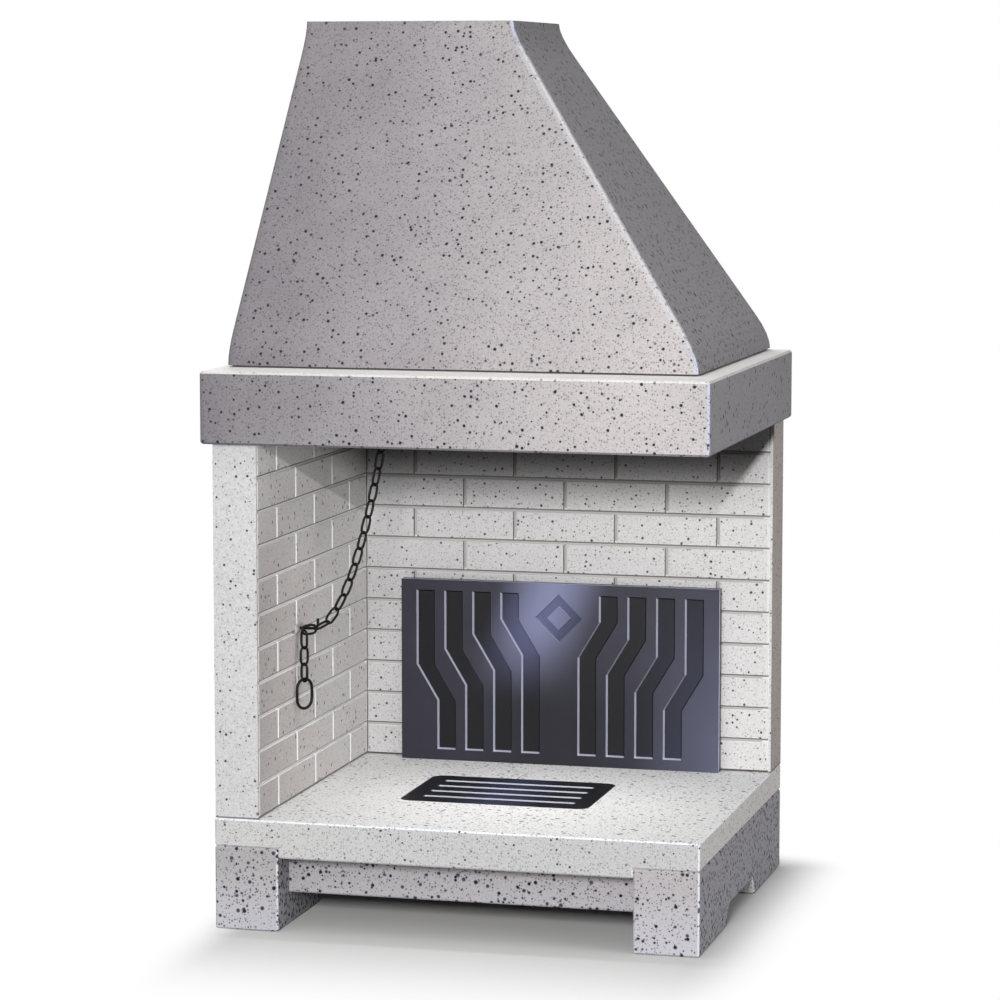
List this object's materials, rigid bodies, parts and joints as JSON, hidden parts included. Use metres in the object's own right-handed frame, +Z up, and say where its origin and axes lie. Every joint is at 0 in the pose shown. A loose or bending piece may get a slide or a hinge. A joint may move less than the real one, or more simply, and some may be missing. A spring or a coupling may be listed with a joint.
{
  "type": "corner fireplace",
  "caption": "Cast-cement corner fireplace, open at front and right: notched base, brick-relief walls, fireback, ash grate, mantel, lopsided pyramid hood, chain-held flue damper.",
  "frame": {"origin": "on the floor, in the middle of the mantel's outline seen from above", "axes": "+Z up, -Y to the open front, +X to the open right side"},
  "size_m": [0.991, 0.86, 1.7506],
  "materials": {
    "support_cement": "matte cast cement, mauve-grey with bold dark speckles, slightly rough",
    "hearth_cement": "matte cast cement, pale grey with small dark speckles, smooth",
    "wall_cement": "matte cast cement with brick relief, pale warm grey with small speckles",
    "hood_cement": "matte cast cement, warm grey with dark speckles",
    "cast_iron": "cast iron, blue-black, faint sheen",
    "sheet_steel": "mill-finished sheet steel",
    "fastener_steel": "zinc-plated steel",
    "bronze": "sintered bronze",
    "black_steel": "black enamelled steel wire, glossy",
    "gasket_fibre": "woven mineral fibre strip"
  },
  "bodies": {
    "base": {"base_support_left": "support_cement", "base_support_right": "support_cement", "base_front_rail": "support_cement", "base_rear_rail": "support_cement", "hearth_slab": "hearth_cement", "left_wall": "wall_cement", "back_wall": "wall_cement", "mantel_ring": "hood_cement", "hood_shell": "hood_cement", "fireback": "cast_iron", "throat_frame": "cast_iron", "ash_box": "sheet_steel", "smoke_funnel": "sheet_steel", "smoke_chamber": "sheet_steel", "flue_collar": "sheet_steel", "wall_dowel_1": "fastener_steel", "wall_dowel_2": "fastener_steel", "wall_dowel_3": "fastener_steel", "wall_dowel_4": "fastener_steel", "wall_dowel_5": "fastener_steel", "wall_dowel_6": "fastener_steel", "wall_dowel_7": "fastener_steel", "wall_dowel_8": "fastener_steel", "fireback_pin_1": "fastener_steel", "fireback_pin_2": "fastener_steel", "funnel_screw_1": "fastener_steel", "funnel_screw_2": "fastener_steel", "funnel_screw_3": "fastener_steel", "funnel_screw_4": "fastener_steel", "throat_bolt_1": "fastener_steel", "throat_bolt_2": "fastener_steel", "throat_bolt_3": "fastener_steel", "throat_bolt_4": "fastener_steel", "damper_bush_left": "bronze", "damper_bush_right": "bronze", "wall_hook": "black_steel", "wall_hook_screw_1": "black_steel", "wall_hook_screw_2": "black_steel", "hood_gasket": "gasket_fibre"},
    "grate": {"ash_grate": "cast_iron"},
    "pan": {"ash_pan": "sheet_steel", "ash_pan_grip_1": "sheet_steel", "ash_pan_grip_2": "sheet_steel"},
    "damper": {"damper_shaft": "sheet_steel", "damper_flap": "cast_iron", "damper_flap_bolt_1": "fastener_steel", "damper_flap_bolt_2": "fastener_steel", "damper_weight": "cast_iron", "damper_weight_bolt_1": "fastener_steel", "damper_weight_bolt_2": "fastener_steel", "damper_lever": "cast_iron", "lever_screw": "fastener_steel"},
    "chain": {"chain_run": "black_steel", "chain_shackle": "black_steel"},
    "tail": {"chain_tail": "black_steel"},
    "ring": {"pull_ring": "black_steel"}
  },
  "joints": [
    {"name": "damper_hinge", "type": "hinge", "parent": "base", "child": "damper", "pos_m": [-0.2115, 0.178, 1.3036], "axis": [1, 0, 0], "range_deg": [0, 74]},
    {"name": "chain_swing", "type": "hinge", "parent": "base", "child": "chain", "pos_m": [-0.3675, -0.1514, 0.5544], "axis": [1, 0, 0], "range_deg": [-12.51, 0]},
    {"name": "tail_swing", "type": "hinge", "parent": "chain", "child": "tail", "pos_m": [-0.37403, -0.16147, 0.5514], "axis": [0.8392, -0.5439, 0], "range_deg": [-1, 30]},
    {"name": "ring_swing", "type": "hinge", "parent": "tail", "child": "ring", "pos_m": [-0.37403, -0.16147, 0.4542], "axis": [0.5439, 0.8392, 0], "range_deg": [-50, 1.5]},
    {"name": "grate_lift", "type": "slide", "parent": "base", "child": "grate", "axis": [0, 0, 1], "range_m": [0, 0.15]},
    {"name": "pan_lift", "type": "slide", "parent": "base", "child": "pan", "axis": [0, 0, 1], "range_m": [0, 0.15]}
  ],
  "couplings": [
    {"joint": "chain_swing", "follows": "damper_hinge", "ratio": -0.16887},
    {"joint": "pan_lift", "follows": "grate_lift", "ratio": 1}
  ]
}
